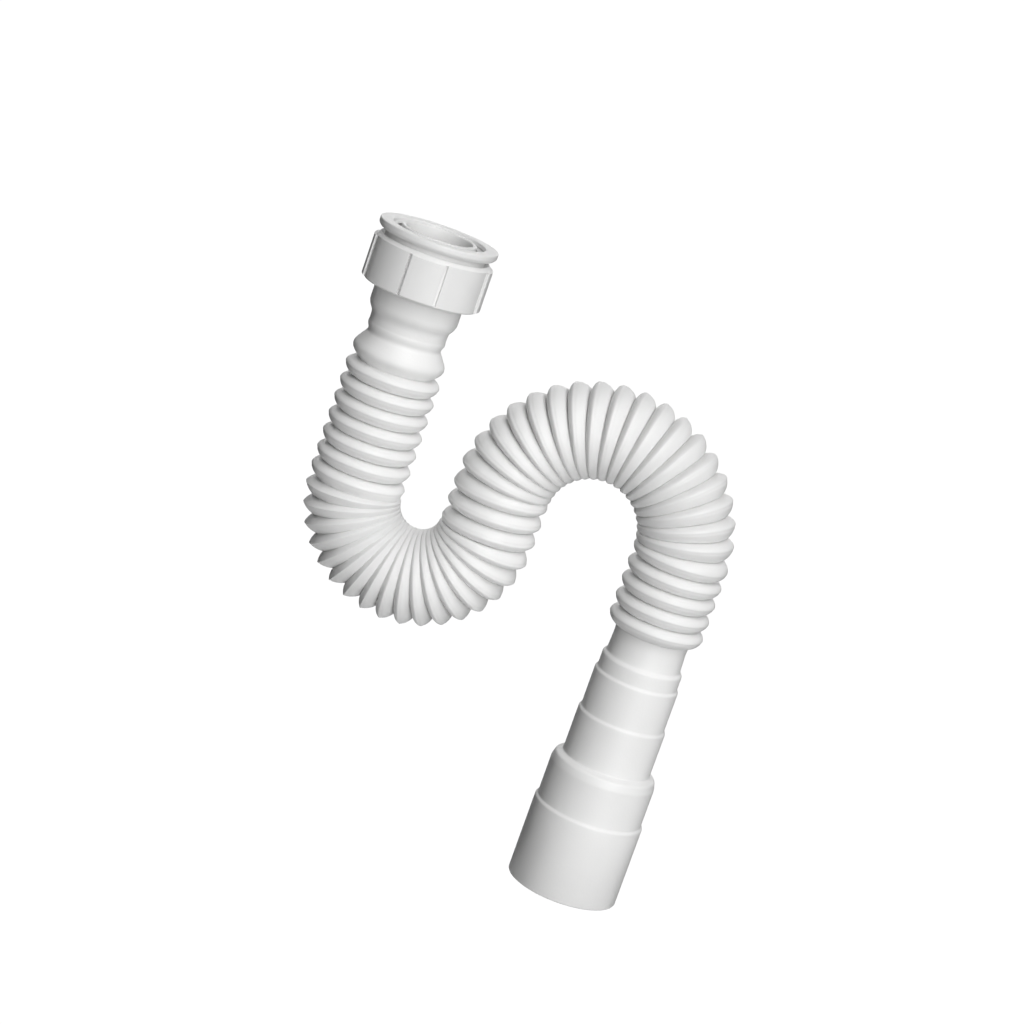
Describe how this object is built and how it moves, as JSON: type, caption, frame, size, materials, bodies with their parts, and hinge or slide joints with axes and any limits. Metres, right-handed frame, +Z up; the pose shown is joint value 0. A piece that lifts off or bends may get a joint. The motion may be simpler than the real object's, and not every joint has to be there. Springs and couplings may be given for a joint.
{
  "type": "flexible sink trap",
  "caption": "Ringed plastic waste trap bent in an S, with a flanged reducer and coupling nut at the inlet and a stepped spigot at the outlet.",
  "frame": {"origin": "centre of the flange's top face, on the axis of the inlet's thread", "axes": "+Z up along the inlet, as installed under a sink; the bends and the outlet lie in the XZ plane towards +X; the picture's side faces -Y"},
  "size_m": [0.197, 0.054, 0.2558],
  "materials": {
    "moulded_plastic": "white, semi-gloss",
    "blown_plastic": "white, glossy, slightly translucent",
    "rubber": "dark grey, matt"
  },
  "bodies": {
    "reducer": {"adapter": "moulded_plastic", "inlet_gasket": "rubber"},
    "washer": {"hose_washer": "rubber"},
    "nut": {"coupling_nut": "moulded_plastic"},
    "hose": {"trap_hose": "blown_plastic"}
  },
  "joints": [
    {"name": "hose_draw", "type": "slide", "parent": "reducer", "child": "washer", "axis": [0, 0, -1], "range_m": [0, 0.01155]},
    {"name": "nut_turn", "type": "hinge", "parent": "washer", "child": "nut", "pos_m": [0, 0, 0], "axis": [0, 0, -1], "range_deg": [0, 1800]},
    {"name": "hose_swivel", "type": "hinge", "parent": "washer", "child": "hose", "pos_m": [0, 0, 0], "axis": [0, 0, 1], "continuous": true}
  ],
  "couplings": [
    {"joint": "hose_draw", "follows": "nut_turn", "m_per_rad": 0.00036749}
  ]
}
